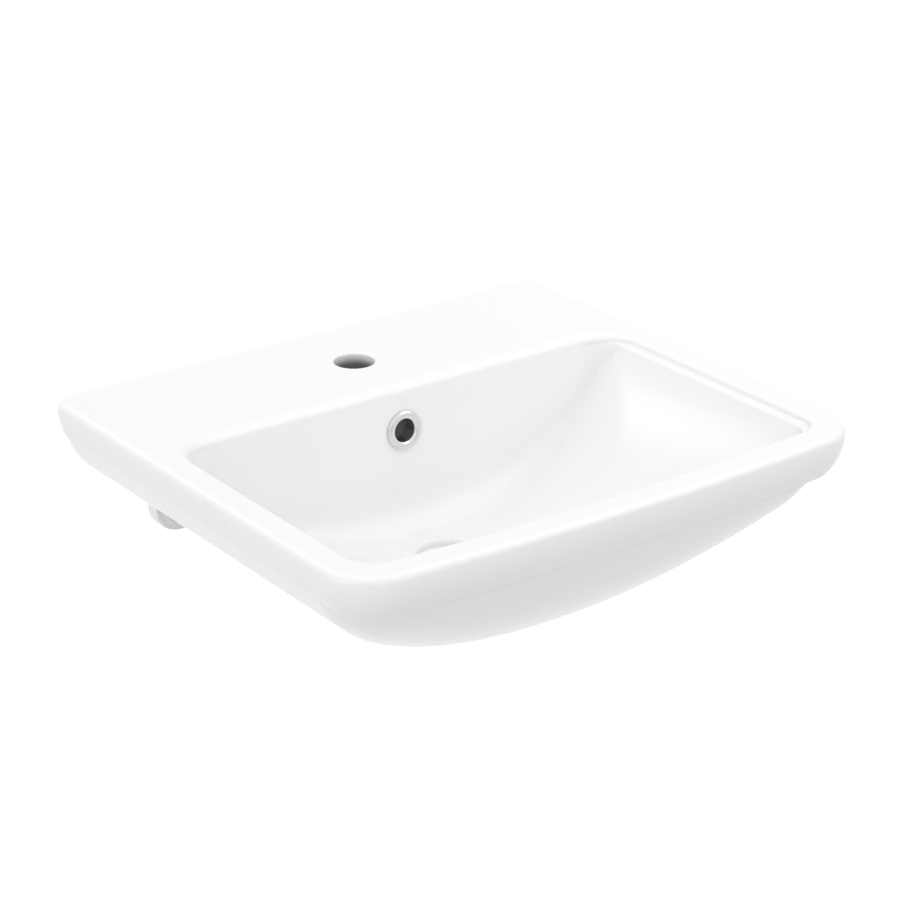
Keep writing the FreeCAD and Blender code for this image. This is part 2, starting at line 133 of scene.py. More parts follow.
# ---- meshes
def mesh_object(name, points, faces):
    """A mesh object from points in millimetres."""
    mesh = bpy.data.meshes.new(name)
    mesh.from_pydata((np.asarray(points, float) * MM).tolist(), [], faces)
    mesh.validate()
    made = bpy.data.objects.new(name, mesh)
    bpy.context.scene.collection.objects.link(made)
    shape = bmesh.new()
    shape.from_mesh(mesh)
    bmesh.ops.recalc_face_normals(shape, faces=shape.faces)
    shape.to_mesh(mesh)
    shape.free()
    return made


def skin(name, rings, capped=True, closed=False):
    """Joins equal rings of points with quads, and closes both ends with one face each."""
    rings = np.asarray(rings, float)
    count, width = rings.shape[:2]
    faces = []
    last = count if closed else count - 1
    for row in range(last):
        for column in range(width):
            following = (column + 1) % width
            above = (row + 1) % count
            faces.append(
                (
                    row * width + column,
                    row * width + following,
                    above * width + following,
                    above * width + column,
                )
            )
    if capped and not closed:
        faces.append(tuple(range(width)))
        faces.append(tuple((count - 1) * width + column for column in range(width)))
    return mesh_object(name, rings.reshape(-1, 3), faces)


def turned(name, profile, segments, place=None, closed=True):
    """A shape turned round Z from (radius, height) points, moved by a matrix in millimetres."""
    angles = np.linspace(0, 2 * math.pi, segments, endpoint=False)
    rings = []
    for angle in angles:
        rings.append([(r * math.cos(angle), r * math.sin(angle), z) for r, z in profile])
    rings = np.asarray(rings)
    if place is not None:
        flat = rings.reshape(-1, 3) @ np.asarray(place.to_3x3()).T
        rings = (flat + np.asarray(place.translation)).reshape(rings.shape)
    if closed:
        return skin(name, rings, capped=False, closed=True)
    return skin(name, np.swapaxes(rings, 0, 1))


def extruded(name, outline, low, high, axis):
    """A prism along X, Y or Z from a two-axis outline."""
    order = {"X": (2, 0, 1), "Y": (0, 2, 1), "Z": (0, 1, 2)}[axis]
    rings = []
    for level in (low, high):
        rings.append([np.array((a, b, level), float)[list(order)] for a, b in outline])
    return skin(name, rings)


def combine(target, other, operation):
    """Joins to the target, or cuts from it, another closed shape, and removes that shape."""
    step = target.modifiers.new(operation.title(), "BOOLEAN")
    step.operation = operation
    step.solver = "EXACT"
    step.object = other
    graph = bpy.context.evaluated_depsgraph_get()
    mesh = bpy.data.meshes.new_from_object(target.evaluated_get(graph))
    before = target.data
    target.modifiers.clear()
    target.data = mesh
    bpy.data.meshes.remove(before)
    bpy.data.objects.remove(other)
    if len(mesh.polygons) < 4:
        raise RuntimeError("a join or cut of " + target.name + " left nothing")


def smooth(target, angle_deg):
    """Shades smooth with edges kept sharp over an angle, so that flat faces shade flat."""
    mesh = target.data
    shape = bmesh.new()
    shape.from_mesh(mesh)
    bmesh.ops.remove_doubles(shape, verts=shape.verts, dist=2e-6)
    bmesh.ops.dissolve_degenerate(shape, edges=shape.edges, dist=1e-6)
    limit = math.radians(angle_deg)
    for face in shape.faces:
        face.smooth = True
    for edge in shape.edges:
        edge.smooth = len(edge.link_faces) != 2 or edge.calc_face_angle(0.0) < limit
    shape.to_mesh(mesh)
    shape.free()
    weigh = target.modifiers.new("Weighted Normal", "WEIGHTED_NORMAL")
    weigh.keep_sharp = True
    weigh.weight = 60
    graph = bpy.context.evaluated_depsgraph_get()
    done = bpy.data.meshes.new_from_object(target.evaluated_get(graph))
    target.modifiers.clear()
    target.data = done
    bpy.data.meshes.remove(mesh)


# ---- outlines seen from above
def bow_values(half, front, corner):
    """The bow's radius and centre for one outline, its corner's centre and where they touch."""
    radius = BOW_RADIUS * half / HALF_WIDTH
    centre = front + radius
    corner_x = half - corner
    corner_y = centre - math.sqrt((radius - corner) ** 2 - corner_x**2)
    touch_x = corner_x * radius / (radius - corner)
    return radius, centre, corner_x, corner_y, touch_x


def front_y(x, half, front, corner):
    radius, centre, corner_x, corner_y, touch_x = bow_values(half, front, corner)
    x = abs(x)
    if x <= touch_x:
        return centre - math.sqrt(radius**2 - x**2)
    return corner_y - math.sqrt(max(corner**2 - (x - corner_x) ** 2, 0.0))


def body_outline(half, back, front, back_corner, corner):
    """Points round the body: along the back, down one side, round the bowed front and back up."""
    radius, centre, corner_x, corner_y, touch_x = bow_values(half, front, corner)
    right = []
    for turn in np.linspace(0, math.pi / 2, 9):
        x = half - back_corner + back_corner * math.sin(turn)
        right.append((x, back - back_corner + back_corner * math.cos(turn)))
    for share in np.linspace(0, 1, 26)[1:-1]:
        right.append((half, back - back_corner + (corner_y - back + back_corner) * share))
    end = math.acos((touch_x - corner_x) / corner)
    for turn in np.linspace(0, end, 25):
        right.append((corner_x + corner * math.cos(turn), corner_y - corner * math.sin(turn)))
    for share in np.linspace(1, 0, 31)[1:]:
        x = touch_x * share
        right.append((x, centre - math.sqrt(radius**2 - x**2)))
    back_run = [(x, back) for x in np.linspace(0, half - back_corner, 12)[:-1]]
    half_loop = back_run + right
    mirrored = [(-x, y) for x, y in reversed(half_loop[1:-1])]
    return np.array(half_loop + mirrored)


def outward(loop):
    """Unit normals of a closed outline, pointing away from its middle."""
    along = np.roll(loop, -1, axis=0) - np.roll(loop, 1, axis=0)
    normals = np.stack([along[:, 1], -along[:, 0]], axis=1)
    normals /= np.linalg.norm(normals, axis=1)[:, None]
    middle = loop.mean(axis=0)
    if ((loop - middle) * normals).sum() < 0:
        normals = -normals
    return normals


def band_inset(below):
    drop = BAND_HEIGHT - BAND_FLAT
    radius = (drop**2 + BAND_TUCK**2) / (2 * BAND_TUCK)
    under = max(below - BAND_FLAT, 0.0)
    return radius - math.sqrt(radius**2 - under**2)


def band_loop(inset):
    corner = FRONT_CORNER - inset / 2
    return body_outline(HALF_WIDTH - inset, 0.0, -(DEPTH - inset), BACK_CORNER, corner)


def at_height(loop, z):
    levels = np.broadcast_to(np.asarray(z, float), (len(loop),))
    return np.column_stack([loop, levels])


# ---- the china
def deck_band(edge_radius, back_edge_radius):
    """The deck with its rounded edge and the band that draws in below it."""
    rings = []
    foot_turn = 1.05
    foot_top = BAND_FOOT_RADIUS * (1 - math.cos(foot_turn))
    side = band_inset(BAND_HEIGHT - foot_top)
    plain = band_loop(BAND_TUCK)
    frontness = np.clip((-330.0 - plain[:, 1]) / 60.0, 0, 1)
    frontness = (frontness * frontness * (3 - 2 * frontness))[:, None]
    for turn in np.linspace(0.0, foot_turn, 6)[:-1]:
        inset = side + BAND_FOOT_RADIUS * (math.sin(foot_turn) - math.sin(turn))
        up = BAND_FOOT_RADIUS * (1 - math.cos(turn))
        rounded = band_loop(inset)
        straight = band_loop(band_inset(BAND_HEIGHT - up))
        rings.append(at_height(straight + (rounded - straight) * frontness, BAND_Z + up))
    for below in np.linspace(BAND_HEIGHT - foot_top, BAND_FLAT, 14):
        rings.append(at_height(band_loop(band_inset(below)), DECK_Z - below))
    base = band_loop(0.0)
    normals = outward(base)
    along_wall = HALF_WIDTH - BACK_CORNER - np.abs(base[:, 0])
    nearness = np.clip((base[:, 1] + 3.0) / 3.0, 0, 1) * np.clip(along_wall / 25.0, 0, 1)
    nearness = nearness * nearness * (3 - 2 * nearness)
    radii = edge_radius + (back_edge_radius - edge_radius) * nearness
    for turn in np.linspace(0, math.pi / 2, 11):
        ring = base - normals * (radii * (1 - math.cos(turn)))[:, None]
        level = DECK_Z - radii * (1 - math.sin(turn))
        if turn == math.pi / 2:
            level = np.full(len(ring), DECK_Z)
        rings.append(at_height(ring, level))
    return skin("ceramic_glazed", rings)


def hull_depth(x):
    share = min(abs(x) / HULL_SPAN, 1.0)
    return HULL_DROP * (1 - share**HULL_FULLNESS) ** HULL_ROUNDNESS


def hull_front_y(x):
    y = HULL_FRONT + FRONT_BOW * (x / HALF_WIDTH) ** 2
    past = abs(x) - (HULL_HALF - HULL_CORNER)
    if past > 0:
        y += HULL_CORNER - math.sqrt(max(HULL_CORNER**2 - past**2, 0.0))
    return y


def hull_loop(x, depth):
    """One slice of the hull across X: back, underside, rounded front and a flat top."""
    run = HULL_RUN * (depth / HULL_DROP) ** HULL_RUN_POWER
    start = hull_front_y(x)
    past = max(abs(x) - (HULL_HALF - BACK_CORNER), 0.0)
    back = math.sqrt(max(BACK_CORNER**2 - past**2, 0.0)) - BACK_CORNER
    top = BAND_Z + BAND_FLAT
    foot = BAND_Z - depth
    ys = np.linspace(back, start + run, 40)
    points = [(back, z) for z in np.linspace(top, foot, 8)]
    points += [(y, foot) for y in ys[1:-1]]
    for t in np.linspace(1, 0, 49):
        weights = ((1 - t) ** 3, 3 * t * (1 - t) ** 2, 3 * t**2 * (1 - t), t**3)
        y = start + run * (0.085 * weights[1] + 0.517 * weights[2] + weights[3])
        z = BAND_Z - depth * (0.288 * weights[1] + 0.856 * weights[2] + weights[3])
        points.append((y, z))
    points += [(start, BAND_Z + 3.0), (start, top)]
    points += [(y, top) for y in np.linspace(start, back, 10)[1:-1]]
    return [(x, y, z) for y, z in points]


def hull():
    """The rounded hull under the band, with its two sides turned up under it."""
    places = [(x, hull_depth(x)) for x in HULL_END * np.sin(np.linspace(0, math.pi / 2, 60))]
    last = places[-1][1]
    slope = (hull_depth(HULL_END - 0.5) - hull_depth(HULL_END + 0.5))
    bend = (HULL_HALF - HULL_END - HULL_SIDE_LEAN * last) / (1 - HULL_SIDE_LEAN * slope)
    bend = min(max(bend, 1.0), HULL_HALF - HULL_END - 1.0)
    middle = last - slope * bend
    for t in np.linspace(0, 1, 17)[1:]:
        x = (1 - t) ** 2 * HULL_END + 2 * t * (1 - t) * (HULL_END + bend) + t**2 * HULL_HALF
        depth = (1 - t) ** 2 * last + 2 * t * (1 - t) * middle
        places.append((x, max(depth, 0.02)))
    places = [(-x, depth) for x, depth in reversed(places[1:])] + places
    return skin("hull", [hull_loop(x, depth) for x, depth in places])


def bowl_drop(x):
    share = min(abs(x) / CREASE_HALF, 1.0)
    return BOWL_DROP * (1 - share**BOWL_FULLNESS) ** BOWL_ROUNDNESS


def rounded_path(corners, radii):
    """Points along straight runs with an arc at each corner, and how far each has turned."""
    points, turns = [np.array(corners[0])], [0.0]
    turned_so_far = 0.0
    for index in range(1, len(corners) - 1):
        before, here, after = (np.array(corners[index + k]) for k in (-1, 0, 1))
        come = (here - before) / max(np.linalg.norm(here - before), 1e-9)
        leave = (after - here) / max(np.linalg.norm(after - here), 1e-9)
        bend = math.acos(float(np.clip(come @ leave, -1, 1)))
        setback = radii[index] * math.tan(bend / 2)
        side = np.array([-come[1], come[0]])
        if side @ leave < 0:
            side = -side
        centre = here - come * setback + side * radii[index]
        for angle in np.linspace(0, bend, 24):
            spoke = -side * math.cos(angle) + come * math.sin(angle)
            points.append(centre + spoke * radii[index])
            turns.append(turned_so_far + angle)
        turned_so_far += bend
    points.append(np.array(corners[-1]))
    turns.append(turned_so_far)
    return np.array(points), np.array(turns)


def bowl_slice(x, count):
    """One slice of the bowl from its back crease over the floor to its front crease."""
    drop = bowl_drop(x)
    share = drop / BOWL_DROP
    past = max(abs(x) - (CREASE_HALF - CREASE_BACK_CORNER), 0.0)
    back = CREASE_BACK - CREASE_BACK_CORNER + math.sqrt(max(CREASE_BACK_CORNER**2 - past**2, 0.0))
    front = front_y(x, CREASE_HALF, CREASE_FRONT, CREASE_CORNER)
    if drop < 1e-6:
        return [(x, y, CREASE_Z) for y in np.linspace(back, front, count)]
    lean = BACK_LEAN * drop / (drop + 10.0)
    corners = [
        (back, 0.0),
        (back - lean, drop),
        (front + FRONT_LEAN * share, drop - FLOOR_FALL * share),
        (front, 0.0),
    ]
    radii = [0, BACK_FLOOR_RADIUS * share**1.8, FRONT_FLOOR_RADIUS * share, 0]
    points, turns = rounded_path(corners, radii)
    weight = 12.0 * min(drop / 6.0, 1.0)
    steps = np.linalg.norm(np.diff(points, axis=0), axis=1) + weight * np.abs(np.diff(turns))
    along = np.concatenate([[0.0], np.cumsum(steps)])
    wanted = np.linspace(0, along[-1], count)
    ys = np.interp(wanted, along, points[:, 0])
    drops = np.interp(wanted, along, points[:, 1])
    return [(x, y, CREASE_Z - d) for y, d in zip(ys, drops)]


def bowl_places():
    straight = CREASE_HALF - CREASE_CORNER
    inner = list(np.linspace(-straight, straight, 107))
    outer = [straight + CREASE_CORNER * math.sin(a) for a in np.linspace(0, math.pi / 2, 15)[1:]]
    return [-x for x in reversed(outer)] + inner + outer


def flattened_round_waste(grid, floor_z):
    """Levels the floor round the waste, so that its seat lies in a flat disc."""
    away = np.hypot(grid[:, :, 0], grid[:, :, 1] - WASTE_Y)
    near = np.clip((away - 29.0) / 20.0, 0, 1)
    near = near * near * (3 - 2 * near)
    flat = np.where(grid[:, :, 2] < floor_z + 6.0, floor_z, grid[:, :, 2])
    grid[:, :, 2] = flat + (grid[:, :, 2] - flat) * near
    return grid


def rim_point(column, half, back, front, back_corner, corner, z):
    """A point of one ring of the rim, on the column that starts at a place of the crease."""
    kind, value, side = column
    radius, centre, corner_x, corner_y, touch_x = bow_values(half, front, corner)
    if kind == "side":
        start = back - back_corner
        return (side * half, start + (corner_y - start) * value, z)
    if kind == "back corner":
        x = half - back_corner + back_corner * math.sin(value)
        return (side * x, back - back_corner + back_corner * math.cos(value), z)
    if kind == "front corner":
        x = corner_x + corner * math.sin(value)
        return (side * x, front_y(x, half, front, corner), z)
    if kind == "back":
        return (value, back, z)
    return (value, front_y(value, half, front, corner), z)


def crease_columns(places, rows):
    """What each column of the rim stands on, in the order of the bowl patch's boundary."""
    corners = {"back": CREASE_BACK_CORNER, "front": CREASE_CORNER}

    def across(x, edge):
        straight = CREASE_HALF - corners[edge]
        if abs(x) <= straight + 1e-9:
            return (edge, x, 0)
        share = min((abs(x) - straight) / corners[edge], 1.0)
        return (edge + " corner", math.asin(share), 1 if x > 0 else -1)

    columns = [across(x, "back") for x in places]
    shares = np.linspace(0, 1, rows)
    columns += [("side", share, 1) for share in shares[1:-1]]
    columns += [across(x, "front") for x in reversed(places)]
    columns += [("side", share, -1) for share in reversed(shares[1:-1])]
    return columns


def backness(column):
    """How much a column of the rim belongs to the broad lip at the back."""
    kind, value, side = column
    if kind == "back":
        return 1.0
    if kind == "back corner":
        share = value / (math.pi / 2)
        return 1 - share * share * (3 - 2 * share)
    return 0.0


def lip_ring(columns, turn, side_lip, back_lip):
    """The ring of the rounded lip at an angle: 0 on the deck and a quarter turn at its foot."""
    rise = 1 - math.sin(turn)
    side = side_lip * rise
    values = (
        HALF_WIDTH - SIDE_RIM + side,
        -BACK_LEDGE + back_lip * rise,
        -(DEPTH - SIDE_RIM + side),
        OPENING_BACK_CORNER + side,
        OPENING_CORNER + side,
        DECK_Z,
    )
    ring = []
    for column in columns:
        share = backness(column)
        down = (side_lip + (BACK_LIP_DROP - side_lip) * share) * (1 - math.cos(turn))
        x, y, z = rim_point(column, *values)
        ring.append(np.array((x, y + (CREASE_BACK + 0.1 + BACK_LEDGE) * share * (1 - rise), z - down)))
    return ring


def inward_dip(column):
    """The direction in which the bowl leaves the crease at a column of the rim."""
    kind, value, side = column
    ramp, back_wall, front_wall = 0.45, 0.08, 0.19
    if kind == "side":
        flat, amount = (-side, 0.0), ramp
    elif kind == "back":
        flat, amount = (0.0, -1.0), back_wall
    elif kind == "front":
        flat, amount = (0.0, 1.0), front_wall
    else:
        wall = back_wall if kind.startswith("back") else front_wall
        towards = -1.0 if kind.startswith("back") else 1.0
        flat = (-side * math.sin(value), towards * math.cos(value))
        amount = wall + (ramp - wall) * (value / (math.pi / 2)) ** 4
    down = math.sqrt(1 - amount**2)
    return np.array([flat[0] * amount, flat[1] * amount, -down])


def bowl_cutter(side_lip, back_lip, floor_z):
    """The inside of the bowl with the short slope and the rounded lip above it, as one shape."""
    rows = 125
    places = bowl_places()
    grid = np.array([bowl_slice(x, rows) for x in places])
    grid = flattened_round_waste(grid, floor_z)
    across, along = grid.shape[:2]
    points = [tuple(p) for p in grid.reshape(-1, 3)]
    faces = []
    for i in range(across - 1):
        for j in range(along - 1):
            faces.append((i * along + j, (i + 1) * along + j, (i + 1) * along + j + 1, i * along + j + 1))
    boundary = [i * along for i in range(across)]
    boundary += [(across - 1) * along + j for j in range(1, along - 1)]
    boundary += [i * along + along - 1 for i in reversed(range(across))]
    boundary += [j for j in reversed(range(1, along - 1))]
    columns = crease_columns(places, rows)
    rings = []
    upper = lip_ring(columns, math.pi / 2, side_lip, back_lip)
    lower = [np.array(points[index]) for index in boundary]
    dips = [inward_dip(c) for c in columns]
    for t in np.linspace(1, 0, 9)[1:-1]:
        ring = []
        for top, bottom, dip in zip(upper, lower, dips):
            reach = 0.36 * np.linalg.norm(top - bottom)
            first = top + np.array([0, 0, -reach])
            second = bottom - dip * reach
            mix = ((1 - t) ** 3, 3 * t * (1 - t) ** 2, 3 * t**2 * (1 - t), t**3)
            ring.append(mix[0] * top + mix[1] * first + mix[2] * second + mix[3] * bottom)
        rings.append(ring)
    for turn in np.linspace(math.pi / 2, 0, 14):
        rings.append(lip_ring(columns, turn, side_lip, back_lip))
    rings.append([(x, y, DECK_Z + 12.0) for x, y, z in rings[-1]])
    width = len(columns)
    below = boundary
    for ring in rings:
        start = len(points)
        points += [tuple(p) for p in ring]
        here = list(range(start, start + width))
        for k in range(width):
            n = (k + 1) % width
            faces.append((below[k], below[n], here[n], here[k]))
        below = here
    faces.append(tuple(below))
    return mesh_object("bowl_cutter", points, faces)


def arc(centre, radius, start_deg, end_deg, count):
    turns = np.radians(np.linspace(start_deg, end_deg, count))
    return [(centre[0] + radius * math.cos(t), centre[1] + radius * math.sin(t)) for t in turns]


def wing_outline():
    """The hollow under the deck seen from the wall."""
    half = HULL_HALF - WING
    full = HULL_DROP - WING
    places = half * np.sin(np.linspace(-math.pi / 2, math.pi / 2, 61))
    curve = []
    for x in places:
        share = min(abs(x) / half, 1.0)
        curve.append((x, BAND_Z - full * (1 - share**HULL_FULLNESS) ** HULL_ROUNDNESS))
    top = arc((half - 8, DECK_UNDER_Z - 8), 8, 0, 90, 7)
    return curve + top + [(-x, z) for x, z in reversed(top)]


def hollow_back(china):
    """Opens the underside behind the bowl and leaves the wall flange with its two lugs."""
    combine(china, extruded("hollow", wing_outline(), BOWL_BACK_Y, -FLANGE, "Y"), "DIFFERENCE")
    wing_edge = FIXING_X + LUG_RADIUS + 2.0
    low = BOSS_Z - 10.0
    wide = [(-wing_edge, low), (wing_edge, low), (wing_edge, BAND_Z), (-wing_edge, BAND_Z)]
    combine(china, extruded("wide", wide, BOWL_BACK_Y, -FLANGE, "Y"), "DIFFERENCE")
    lug_edge = FIXING_X - LUG_RADIUS
    right = arc((lug_edge - 12, BAND_Z - 12), 12, 0, 90, 9)
    narrow = [(-lug_edge, low), (lug_edge, low)] + right + [(-x, z) for x, z in reversed(right)]
    combine(china, extruded("narrow", narrow, -FLANGE - 9.0, 20.0, "Y"), "DIFFERENCE")
    outer = FIXING_X + LUG_RADIUS
    under = [(-outer, low), (outer, low), (outer, 0.0), (-outer, 0.0)]
    combine(china, extruded("under", under, -FLANGE, 20.0, "Y"), "DIFFERENCE")
    for side in (-1, 1):
        x = side * FIXING_X
        foot = arc((x, 0.0), LUG_RADIUS, 180, 360, 33)
        plate = foot + [(x + LUG_RADIUS, BAND_Z + 1), (x - LUG_RADIUS, BAND_Z + 1)]
        rings = []
        for y, inset in ((0.0, 0.0), (-FLANGE + 2.5, 0.0), (-FLANGE + 0.7, 0.7), (-FLANGE, 2.5)):
            scale = 1 - inset / LUG_RADIUS
            rings.append([(x + (px - x) * scale, y, pz * scale if pz < 0 else pz) for px, pz in plate])
        combine(china, skin("lug", rings), "UNION")


def duct_side(back, front, floor, roof, top, radius):
    """The overflow passage seen from the side, down behind the bowl and then forward."""
    bend = arc((back - radius, floor + radius), radius, 0, -90, 10)
    return [(back, top)] + bend + [(WASTE_Y, floor), (WASTE_Y, roof), (front, roof), (front, top)]


def waste_and_overflow(china, floor_z):
    """Adds the waste boss and the overflow casing."""
    boss = [(46.0 - 3.0, BOSS_Z), (45.1, BOSS_Z + 0.9), (46.0, BOSS_Z + 3.0), (46.0, floor_z - 4.0)]
    at_waste = Matrix.Translation((0, WASTE_Y, 0))
    combine(china, turned("boss", boss, 96, at_waste, closed=False), "UNION")
    half = DUCT_WIDTH / 2 + DUCT_WALL
    back, front = DUCT_BACK_Y, DUCT_BACK_Y - DUCT_DEPTH
    casing = duct_side(
        back + DUCT_WALL,
        front - DUCT_WALL,
        DUCT_FLOOR_Z - DUCT_WALL + 0.4,
        DUCT_FLOOR_Z + DUCT_DEPTH + DUCT_WALL,
        DECK_UNDER_Z + 1.0,
        19.0,
    )
    combine(china, extruded("casing", casing, -half, half, "X"), "UNION")


def cut_passages(china, floor_z):
    half = DUCT_WIDTH / 2
    front = DUCT_BACK_Y - DUCT_DEPTH
    roof = DUCT_FLOOR_Z + DUCT_DEPTH
    inner = duct_side(DUCT_BACK_Y, front, DUCT_FLOOR_Z, roof, OVERFLOW_Z + DUCT_DEPTH, 10.0)
    combine(china, extruded("passage", inner, -half, half, "X"), "DIFFERENCE")
    seat = [(24.0, floor_z - 7.0), (24.6, floor_z - 6.6), (25.2, floor_z - 3.4)]
    seat += [(28.4 - r * 3.0, floor_z - z * 3.2) for r, z in ((0.82, 0.62), (0.55, 0.3), (0.25, 0.08))]
    seat += [(28.4, floor_z), (28.4, floor_z + 8.0)]
    at_waste = Matrix.Translation((0, WASTE_Y, 0))
    combine(china, turned("seat", seat, 96, at_waste, closed=False), "DIFFERENCE")
    bore = [(23.0, BOSS_Z - 5.0), (23.0, floor_z - 8.0), (24.0, floor_z - 6.9), (24.0, floor_z - 5.0)]
    combine(china, turned("bore", bore, 96, at_waste, closed=False), "DIFFERENCE")
    tap = [(17.5, DECK_UNDER_Z - 3.0), (17.5, DECK_Z - 1.6)]
    tap += [(17.5 + 1.6 * (1 - math.cos(t)), DECK_Z - 1.6 * (1 - math.sin(t))) for t in (0.4, 0.8, 1.2)]
    tap += [(19.1, DECK_Z), (19.1, DECK_Z + 5.0)]
    at_tap = Matrix.Translation((0, TAP_Y, 0))
    combine(china, turned("tap", tap, 96, at_tap, closed=False), "DIFFERENCE")
    hole = [(12.5, -13.0), (12.5, 6.0)]
    combine(china, turned("hole", hole, 72, overflow_place(), closed=False), "DIFFERENCE")
    for side in (-1, 1):
        at_screw = Matrix.Translation((side * FIXING_X, 0, 0)) @ Matrix.Rotation(math.pi / 2, 4, "X")
        hole = [(10.0, -5.0), (10.0, FLANGE - 1.0), (10.4, FLANGE - 0.3), (11.2, FLANGE), (11.2, 30.0)]
        combine(china, turned("hole", hole, 64, at_screw, closed=False), "DIFFERENCE")


def overflow_place():
    """The frame of the overflow ring: its Z points square out of the bowl's leaning back wall."""
    foot_lean = BACK_LEAN * BOWL_DROP / (BOWL_DROP + 10.0)
    lean = math.atan2(foot_lean, BOWL_DROP)
    y = CREASE_BACK - foot_lean * (CREASE_Z - OVERFLOW_Z) / BOWL_DROP
    axis = Vector((0, -math.cos(lean), math.sin(lean)))
    turn = Vector((0, 0, 1)).rotation_difference(axis).to_matrix().to_4x4()
    return Matrix.Translation((0, y, OVERFLOW_Z)) @ turn


# ---- finishes
def new_group(name, inputs, outputs):
    """A shader node group with named sockets, or the one that has been made already."""
    if name in bpy.data.node_groups:
        return bpy.data.node_groups[name], True
    group = bpy.data.node_groups.new(name, "ShaderNodeTree")
    for label, kind, default in inputs:
        socket = group.interface.new_socket(name=label, in_out="INPUT", socket_type=kind)
        socket.default_value = default
    for label, kind in outputs:
        group.interface.new_socket(name=label, in_out="OUTPUT", socket_type=kind)
    return group, False


def node(tree, kind, **values):
    made = tree.nodes.new(kind)
    for name, value in values.items():
        setattr(made, name, value)
    return made


def ranged(tree, value, low, high):
    """A value from 0 to 1 moved into another range."""
    made = node(tree, "ShaderNodeMapRange")
    made.inputs["To Min"].default_value = low
    made.inputs["To Max"].default_value = high
    tree.links.new(value, made.inputs["Value"])
    return made.outputs["Result"]


def surface_wear():
    """Slow and fine unevenness: a height for a Bump node, and a mask that varies over it."""
    inputs = [
        ("Slow scale", "NodeSocketFloat", 8.0),
        ("Fine scale", "NodeSocketFloat", 300.0),
        ("Fine share", "NodeSocketFloat", 0.2),
    ]
    outputs = [("Height", "NodeSocketFloat"), ("Mask", "NodeSocketFloat")]
    group, made = new_group("Uneven surface", inputs, outputs)
    if made:
        return group
    entry = node(group, "NodeGroupInput")
    leave = node(group, "NodeGroupOutput")
    place = node(group, "ShaderNodeTexCoord")
    slow = node(group, "ShaderNodeTexNoise")
    fine = node(group, "ShaderNodeTexNoise")
    for texture, socket in ((slow, "Slow scale"), (fine, "Fine scale")):
        texture.inputs["Detail"].default_value = 2.0
        group.links.new(place.outputs["Object"], texture.inputs["Vector"])
        group.links.new(entry.outputs[socket], texture.inputs["Scale"])
    blend = node(group, "ShaderNodeMix", data_type="FLOAT")
    group.links.new(entry.outputs["Fine share"], blend.inputs["Factor"])
    group.links.new(slow.outputs["Fac"], blend.inputs["A"])
    group.links.new(fine.outputs["Fac"], blend.inputs["B"])
    group.links.new(blend.outputs["Result"], leave.inputs["Height"])
    group.links.new(slow.outputs["Fac"], leave.inputs["Mask"])
    return group


def start_material(name):
    material = bpy.data.materials.new(name)
    material.use_nodes = True
    tree = material.node_tree
    return material, tree, tree.nodes["Principled BSDF"]


def placed_wear(tree, slow, fine, share):
    group = node(tree, "ShaderNodeGroup")
    group.node_tree = surface_wear()
    group.inputs["Slow scale"].default_value = slow
    group.inputs["Fine scale"].default_value = fine
    group.inputs["Fine share"].default_value = share
    return group


def tinted(tree, mask, first, second, shader):
    mix = node(tree, "ShaderNodeMix", data_type="RGBA")
    mix.inputs["A"].default_value = (*first, 1)
    mix.inputs["B"].default_value = (*second, 1)
    tree.links.new(mask, mix.inputs["Factor"])
    tree.links.new(mix.outputs["Result"], shader.inputs["Base Color"])
    return mix


def bumped(tree, height, strength, distance, shader):
    bump = node(tree, "ShaderNodeBump")
    bump.inputs["Strength"].default_value = strength
    bump.inputs["Distance"].default_value = distance
    tree.links.new(height, bump.inputs["Height"])
    tree.links.new(bump.outputs["Normal"], shader.inputs["Normal"])


def worked(tree, operation, *values):
    """A maths node on sockets and numbers."""
    made = node(tree, "ShaderNodeMath", operation=operation)
    for index, value in enumerate(values):
        if isinstance(value, (int, float)):
            made.inputs[index].default_value = value
        else:
            tree.links.new(value, made.inputs[index])
    return made.outputs[0]


def both(tree, *masks):
    """One where all the masks are one."""
    result = masks[0]
    for mask in masks[1:]:
        result = worked(tree, "MULTIPLY", result, mask)
    return result


